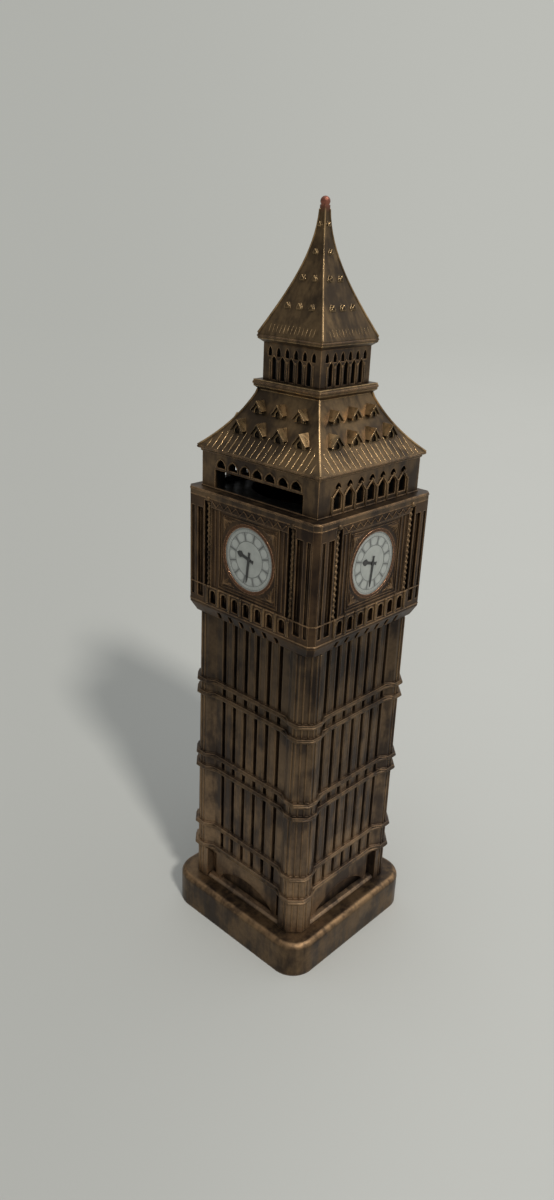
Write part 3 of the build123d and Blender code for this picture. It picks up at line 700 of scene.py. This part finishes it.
columns = Shells()
for side in SIDES:
    for s in (-COLUMN, COLUMN):
        columns.tube(upright(side, s, COLUMN_FOOT, COLUMN_HEAD, STAGE_HALF - 0.75), 0.42)
        for index in range(COLUMN_BEADS):
            share = index / (COLUMN_BEADS - 1)
            z = COLUMN_FOOT + 0.7 + share * (COLUMN_HEAD - COLUMN_FOOT - 1.4)
            columns.bead(on_side(side, s, z, STAGE_HALF - 0.6), 0.52)
        columns.bead(on_side(side, s, COLUMN_HEAD + 0.45, STAGE_HALF - 0.25), 0.72)
piece("beaded_columns", columns, BRONZE_RAISED)

PANEL = STAGE_HALF - 0.35
FRAME_HALF = 9.25
FRAME_STEPS = 6
FRAME_CORNERS = ((-1, -1), (1, -1), (1, 1), (-1, 1))
STILE = 10.6
LEAF_ROOT = 8.05
# tip across and up from the dial's centre, width, bend
LEAVES = (
    (6.15, 6.15, 1.0, 0.0),
    (4.2, 8.0, 0.95, 0.35),
    (8.0, 4.2, 0.95, -0.35),
    (5.2, 7.2, 0.7, 0.15),
    (7.2, 5.2, 0.7, -0.15),
)

frames = Shells()
leaves = Shells()
for side in SIDES:
    for inset, radius in ((0.0, 0.26), (0.75, 0.14)):
        size = FRAME_HALF - inset
        path = []
        for index, (from_s, from_z) in enumerate(FRAME_CORNERS):
            to_s, to_z = FRAME_CORNERS[(index + 1) % 4]
            for step in range(FRAME_STEPS):
                share = step / FRAME_STEPS
                s = (from_s + (to_s - from_s) * share) * size
                z = DIAL_HEIGHT + (from_z + (to_z - from_z) * share) * size
                path.append(on_side(side, s, z, PANEL))
        frames.tube(path, radius, 6, closed=True)
    for s in (-STILE, STILE):
        frames.tube(upright(side, s, 95.9, 114.2, PANEL), 0.24, 6)
    for way_s in (-1, 1):
        for way_z in (-1, 1):
            root = (way_s * LEAF_ROOT, DIAL_HEIGHT + way_z * LEAF_ROOT)
            for tip_s, tip_z, width, bend in LEAVES:
                tip = (way_s * tip_s, DIAL_HEIGHT + way_z * tip_z)
                leaves.leaf(side, root, tip, width, PANEL, PANEL + 0.33, bend * way_s * way_z)
            leaves.bead(on_side(side, *root, PANEL), 0.42)
piece("dial_frames", frames, BRONZE_STAGE)
piece("spandrel_leaves", leaves, BRONZE_STAGE)

FRIEZE_PITCH = 2.55
FRIEZE_TEETH = 9
FRIEZE_LOW = 114.95
FRIEZE_HIGH = 116.15
# near-black triangles of painted shade in the frieze's zigzag, under its peaks and over its dips
PIT_UNDER = ((-0.6, 115.15), (0.6, 115.15), (0.0, 115.75))
PIT_OVER = ((-0.6, 116.05), (0.0, 115.35), (0.6, 116.05))

frieze = Shells()
shade_pits = Shells()
for side in SIDES:
    path = []
    for index, s in enumerate(row(2 * FRIEZE_TEETH + 1, FRIEZE_PITCH / 2)):
        path.append(on_side(side, s, FRIEZE_LOW if index % 2 else FRIEZE_HIGH, STAGE_HALF))
    frieze.tube(path, 0.17, 6)
    for index, middle in enumerate(row(FRIEZE_TEETH, FRIEZE_PITCH)):
        pairs = [(middle, PIT_UNDER)]
        if index < FRIEZE_TEETH - 1:
            pairs.append((middle + FRIEZE_PITCH / 2, PIT_OVER))
        for centre, shape in pairs:
            outline = [(centre + s, z) for s, z in shape]
            shade_pits.plate(side, outline, STAGE_HALF - 0.1, STAGE_HALF + 0.03)
piece("frieze_ridge", frieze, BRONZE_STAGE)
# the frieze's recesses are flat near-black plates of painted shade
piece("frieze_shade_pits", shade_pits, BRONZE_SHADE_PIT)

# ---- belfry: shafts and gables between the openings, hoods over the slot's arches, cornice ----
BAY_PITCH = 3.8
BAYS = 7
BELFRY_HALF = reach("belfry", 0, 15.5, 124.0)  # a plain place near the corner
BAY_GABLE = ((-1.72, 122.2), (-0.9, 123.15), (0.0, 124.0), (0.9, 123.15), (1.72, 122.2))
SLOT_HOOD = (
    (-1.6, 123.2), (-1.5, 124.1), (-0.95, 124.9), (0.0, 125.45),
    (0.95, 124.9), (1.5, 124.1), (1.6, 123.2),
)

belfry = Shells()
for side in (1, 2, 3):
    for s in row(BAYS + 1, BAY_PITCH):
        belfry.tube(upright(side, s, BELFRY_FLOOR, 122.4, BELFRY_HALF), 0.3, 6)
    for s in row(BAYS, BAY_PITCH):
        belfry.tube(trace(side, s, BAY_GABLE, BELFRY_HALF + 0.08), 0.26, 6)
        belfry.bead(on_side(side, s, 124.1, BELFRY_HALF + 0.12), 0.36, 8)
for s in row(BAYS, BAY_PITCH):
    belfry.tube(trace(0, s, SLOT_HOOD, BELFRY_HALF), 0.2, 6)
piece("belfry_tracery", belfry, BRONZE_RAISED)

LEDGE_INSET = 8.75

cornice = Shells()
cornice.course(BELFRY_HALF + 0.05, EAVE - 0.35, 0.36)
cornice.course(BELFRY_HALF, BELFRY_FLOOR + 0.15, 0.22)
cornice.course(ROOF_HALF - 0.05, EAVE + 0.3, 0.26)
cornice.course(ROOF_HALF - LEDGE_INSET, LEDGE_TOP - 0.7, 0.4)
cornice.course(SPIRE_HALF - 0.05, 151.95, 0.26)
piece("eave_mouldings", cornice, BRONZE)

# ---- roofs: standing seams, hip rolls, hoods over the dormers ----
SEAMS = 21
SEAM_PITCH = 1.72
SPIRE_SEAMS = 13
SPIRE_SEAM_PITCH = 1.05
SEAM_FOOT = EAVE + 0.7
SEAM_STEPS = 5
SEAM_HEAD = 131.9
SEAM_HEAD_UNDER_DORMER = 130.9
DORMERS_AT = (3.1, 9.3)
DORMER_CLEAR = 1.9
HIP_STEPS = 12
SPIRE_HIP_STEPS = 16
# count, pitch, sill height, front out from the axis, width, wall height, gable rise, depth
DORMER_ROWS = (
    (4, 6.2, 131.3, 14.9, 3.2, 0.8, 1.9, 2.6),
    (3, 6.2, 135.9, 12.0, 2.7, 0.7, 1.6, 2.2),
)
HOOD_LIP = 0.3

seams = Shells()
for side in SIDES:
    for s in row(SEAMS, SEAM_PITCH):
        near = min(abs(abs(s) - place) for place in DORMERS_AT)
        head = SEAM_HEAD_UNDER_DORMER if near < DORMER_CLEAR else SEAM_HEAD
        path = []
        for step in range(SEAM_STEPS + 1):
            z = SEAM_FOOT + (head - SEAM_FOOT) * step / SEAM_STEPS
            out = reach("lower_roof", side, 0.0, z)
            if abs(s) < out - 0.4:
                path.append(on_side(side, s, z, out))
        if len(path) > 1:
            sizes = [0.19 - 0.08 * step / (len(path) - 1) for step in range(len(path))]
            seams.tube(path, sizes, 6, ends=0.6)
    for s in row(SPIRE_SEAMS, SPIRE_SEAM_PITCH):
        path = [on_side(side, s, z, reach("spire", side, s, z)) for z in (153.0, 153.8, 154.6)]
        seams.tube(path, [0.1, 0.08, 0.05], 6, ends=0.6)
piece("roof_seams", seams, BRONZE_SEAM)

rolls = Shells()
for side in SIDES:
    shares = [step / HIP_STEPS for step in range(HIP_STEPS + 1)]
    rolls.tube([hip("lower_roof", side, EAVE + 0.6 + 13.0 * share) for share in shares], 0.28)
    shares = [step / SPIRE_HIP_STEPS for step in range(SPIRE_HIP_STEPS + 1)]
    path = [hip("spire", side, 152.5 + 25.0 * share) for share in shares]
    rolls.tube(path, [0.26 - 0.09 * share for share in shares])
piece("hip_rolls", rolls, BRONZE_SEAM)

hoods = Shells()
for side in SIDES:
    for count, pitch, sill, stand, width, wall, rise, depth in DORMER_ROWS:
        eave_s = width / 2 + HOOD_LIP
        eave_z = sill + wall - HOOD_LIP * rise / (width / 2)
        ridge_z = sill + wall + rise
        for s in row(count, pitch):
            outline = [
                (s - eave_s, eave_z), (s, ridge_z), (s + eave_s, eave_z),
                (s + eave_s + 0.12, eave_z + 0.26), (s, ridge_z + 0.4),
                (s - eave_s - 0.12, eave_z + 0.26),
            ]
            hoods.plate(side, outline, stand - depth, stand + 0.4)
piece("dormer_hoods", hoods, BRONZE_HOOD)

# ---- lantern: gables over its slots ----
LANTERN_BAYS = 5
LANTERN_PITCH = 2.52
LANTERN_GABLE = ((-1.15, 146.7), (-0.6, 147.5), (0.0, 148.15), (0.6, 147.5), (1.15, 146.7))

lantern = Shells()
for side in SIDES:
    for s in row(LANTERN_BAYS, LANTERN_PITCH):
        lantern.tube(trace(side, s, LANTERN_GABLE, LANTERN_HALF), 0.13, 6)
    for s in row(LANTERN_BAYS + 1, LANTERN_PITCH):
        lantern.tube(upright(side, s, LEDGE_TOP, 147.2, LANTERN_HALF), 0.15, 6)
piece("lantern_tracery", lantern, BRONZE_RAISED)

# ---- dials: printed rings, petals at the hours, minute ticks, hands ----
HOUR_ANGLE = 285.5
MINUTE_ANGLE = 186.0
DIAL_SUNK = DIAL_FACE - 0.05  # printed shapes start just under the card's face
BAND = (4.15, 6.2)
RINGS = ((4.1, 4.22), (6.18, 6.28), (6.98, 7.06))
TICK = (6.4, 6.85)
TICK_HALF = 0.045
PETAL_AT = 5.2
PETAL_STEPS = 16
# radius and half width, from tail to tip
HOUR_HAND = ((-1.4, 0.45), (-0.9, 0.3), (2.0, 0.36), (2.6, 0.8), (3.2, 0.6), (3.8, 0.05))
MINUTE_HAND = ((-1.7, 0.36), (-1.1, 0.24), (0.5, 0.34), (4.2, 0.28), (5.6, 0.07))
# angle, shape, height over the face
HANDS = ((HOUR_ANGLE, HOUR_HAND, 0.06), (MINUTE_ANGLE, MINUTE_HAND, 0.16))


def dial_point(angle, radius, across=0.0):
    """Point of a dial, from its clockwise angle and radius, as (s, z)."""
    turn = radians(angle)
    s = sin(turn) * radius + cos(turn) * across
    return (s, DIAL_HEIGHT + cos(turn) * radius - sin(turn) * across)


def dial_bar(angle, inner, outer, inner_half, outer_half):
    """Outline of a straight bar that points outwards."""
    return [
        dial_point(angle, inner, -inner_half), dial_point(angle, outer, -outer_half),
        dial_point(angle, outer, outer_half), dial_point(angle, inner, inner_half),
    ]


grey = Shells()
pale = Shells()
ink = Shells()
hands = Shells()
for side in SIDES:
    grey.annulus(side, *BAND, DIAL_SUNK, DIAL_FACE + 0.015, DIAL_HEIGHT)
    for hour in range(12):
        turns = [tau * step / PETAL_STEPS for step in range(PETAL_STEPS)]
        petal = [
            dial_point(hour * 30, PETAL_AT + 0.92 * cos(turn), 0.95 * sin(turn)) for turn in turns
        ]
        pale.plate(side, petal, DIAL_SUNK, DIAL_FACE + 0.03)
        spoke = dial_bar(hour * 30 + 15, 4.2, 6.15, 0.14, 0.2)
        ink.plate(side, spoke, DIAL_SUNK, DIAL_FACE + 0.022)
    for minute in range(60):
        wide = TICK_HALF if minute % 5 else 2 * TICK_HALF
        tick = dial_bar(minute * 6, *TICK, wide, wide)
        grey.plate(side, tick, DIAL_SUNK, DIAL_FACE + 0.02)
    for inner, outer in RINGS:
        ink.annulus(side, inner, outer, DIAL_SUNK, DIAL_FACE + 0.025, DIAL_HEIGHT)
    for angle, profile, low in HANDS:
        outline = [dial_point(angle, radius, width) for radius, width in profile]
        outline += [dial_point(angle, radius, -width) for radius, width in reversed(profile)]
        hands.plate(side, outline, DIAL_FACE + low, DIAL_FACE + low + 0.07)
    hub = [dial_point(step * 30, 0.6) for step in range(12)]
    hands.plate(side, hub, DIAL_SUNK, DIAL_FACE + 0.3, draw_in=0.8)
piece("dial_bands", grey, DIAL_GREY)
piece("dial_petals", pale, DIAL_PALE)
piece("dial_lines", ink, DIAL_FINE)
piece("dial_hands", hands, DIAL_INK)


# ---- floor, light and camera ----
VIEW_AZIMUTH = 42.668
# backdrop tones: painted light, brighter towards the right
BACK_LEFT = rgb(0.43, 0.435, 0.405)
BACK_RIGHT = rgb(0.505, 0.51, 0.475)
RIGHTWARD = (cos(radians(VIEW_AZIMUTH)), sin(radians(VIEW_AZIMUTH)), 0.0)


def make_floor():
    """Pale matt sheet with painted light: lighter towards the right, and far away glowing with the
    backdrop's colour.
    """
    finish = Finish("studio_floor")
    cloud = finish.noise(140.0, detail=3)
    towards = finish.add("NewGeometry").outputs["Incoming"]
    # painted light: the sheet is lighter towards the right
    share = finish.fit(finish.dot(towards, RIGHTWARD), 0.3, -0.3)
    colour = finish.mix(share, rgb(0.54, 0.545, 0.515), rgb(0.68, 0.685, 0.65))
    colour = finish.mix(finish.fit(cloud, 0.3, 0.7, 0.0, 0.04), colour, rgb(0.5, 0.5, 0.48))
    sheet = finish.add("BsdfDiffuse", {"Color": colour}).outputs[0]
    # painted light: far away the sheet glows with the backdrop's colour rather than being lit
    far = finish.mix(share, BACK_LEFT, BACK_RIGHT)
    glow = finish.add("Emission", {"Color": far, "Strength": 1.0}).outputs[0]
    away = finish.add("VectorMath", {0: finish.place}, operation="LENGTH").outputs["Value"]
    melt = finish.fit(away, 0.35, 1.6)
    mixed = finish.add("MixShader", {0: melt, 1: sheet, 2: glow}).outputs[0]
    # the sheet is clear from below, where the plug is drawn out
    under = finish.add("NewGeometry").outputs["Backfacing"]
    clear = finish.add("BsdfTransparent").outputs[0]
    mixed = finish.add("MixShader", {0: under, 1: mixed, 2: clear}).outputs[0]
    finish.add("OutputMaterial", {"Surface": mixed})
    return finish.material


FLOOR_RADIUS = 6.0  # metres
FLOOR_STEPS = 96
floor_mesh = bpy.data.meshes.new("floor")
turns = [tau * step / FLOOR_STEPS for step in range(FLOOR_STEPS)]
rim = [Vector((cos(turn), sin(turn), 0)) * FLOOR_RADIUS for turn in turns]
floor_mesh.from_pydata(rim, [], [tuple(range(FLOOR_STEPS))])
floor_mesh.materials.append(make_floor())
floor = bpy.data.objects.new("floor", floor_mesh)
bpy.context.scene.collection.objects.link(floor)
floor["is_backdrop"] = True

scene = bpy.context.scene
scene.view_settings.view_transform = "Standard"

WINDOW = (0.56, 0.67, 0.49)  # towards the bright window that only reflections see


def make_sky():
    """Backdrop for the camera, painted lighter towards the right, soft fill for the tower, brighter
    window for reflections.
    """
    world = bpy.data.worlds.new("studio")
    sky = Nodes(world)
    sky.tree.nodes.clear()
    look = sky.add("TexCoord").outputs["Generated"]
    ray = sky.add("LightPath").outputs
    share = sky.fit(sky.dot(look, RIGHTWARD), -0.3, 0.3)
    tone = sky.mix(share, BACK_LEFT, BACK_RIGHT)
    plain = sky.add("Background", {"Color": tone}).outputs[0]
    height = sky.add("SeparateXYZ", {0: look}).outputs["Z"]
    lift = sky.fit(height, -0.1, 0.9, 0.146, 0.608, kind="LINEAR")
    pane = sky.fit(sky.dot(look, WINDOW), -0.3, 0.9, 0.7, 1.9)
    gain = sky.add("Mix", {0: ray["Is Glossy Ray"], 2: 1.0, 3: pane}).outputs[0]
    light = {"Color": rgb(0.97, 0.99, 1.0), "Strength": sky.product(lift, gain)}
    fill = sky.add("Background", light).outputs[0]
    seen = sky.add("MixShader", {0: ray["Is Camera Ray"], 1: fill, 2: plain}).outputs[0]
    sky.add("OutputWorld", {"Surface": seen})
    return world


scene.world = make_sky()


def direction(azimuth, elevation):
    """Unit vector from the tower towards a viewer at that azimuth and elevation."""
    turn, tilt = radians(azimuth), radians(elevation)
    return Vector((sin(turn) * cos(tilt), -cos(turn) * cos(tilt), sin(tilt)))


def sun(name, azimuth, elevation, energy, spread, colour, matt=True, shine=True):
    """Distant lamp that lights matt surfaces, shiny ones or both."""
    data = bpy.data.lights.new(name, "SUN")
    data.energy = energy
    data.angle = radians(spread)
    data.color = colour
    lamp = bpy.data.objects.new(name, data)
    lamp.rotation_mode = "QUATERNION"
    lamp.rotation_quaternion = direction(azimuth, elevation).to_track_quat("Z", "Y")
    lamp.visible_diffuse = matt
    lamp.visible_glossy = shine
    scene.collection.objects.link(lamp)


WARM = (1.0, 0.97, 0.92)
KEY_FROM = (69.5, 42.9)
GLINT_FROM = (122.0, 60.0)
sun("key", *KEY_FROM, 0.7, 7.0, WARM)
sun("key_matt", *KEY_FROM, 0.83, 7.0, WARM, shine=False)
sun("glint", *GLINT_FROM, 0.9, 16.0, WARM, matt=False)

VIEW_ELEVATION = 22.696
VIEW_ROLL = -2.319
VIEW_DISTANCE = 218.28
VIEW_AIM = Vector((-4.871, -4.490, 89.794))

VIEW_LENS = 26.863

camera_data = bpy.data.cameras.new("camera")
camera_data.lens = VIEW_LENS
camera_data.sensor_width = 36.0
camera_data.clip_start = 0.01
camera_data.clip_end = 100.0
camera = bpy.data.objects.new("camera", camera_data)
towards = direction(VIEW_AZIMUTH, VIEW_ELEVATION)
level = Vector((0, 0, 1)).cross(towards).normalized()
upward = towards.cross(level)
roll = radians(VIEW_ROLL)
axis_x = level * cos(roll) - upward * sin(roll)
axis_y = level * sin(roll) + upward * cos(roll)
camera.matrix_world = Matrix.Translation((VIEW_AIM + towards * VIEW_DISTANCE) * MM) @ Matrix(
    (axis_x, axis_y, towards)
).transposed().to_4x4()
scene.collection.objects.link(camera)
scene.camera = camera

bpy.context.view_layer.update()
sizes = {
    "cad": [list(corner) for corner in CAD_BOX],
    "visual": [list(corner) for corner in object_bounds()],
}
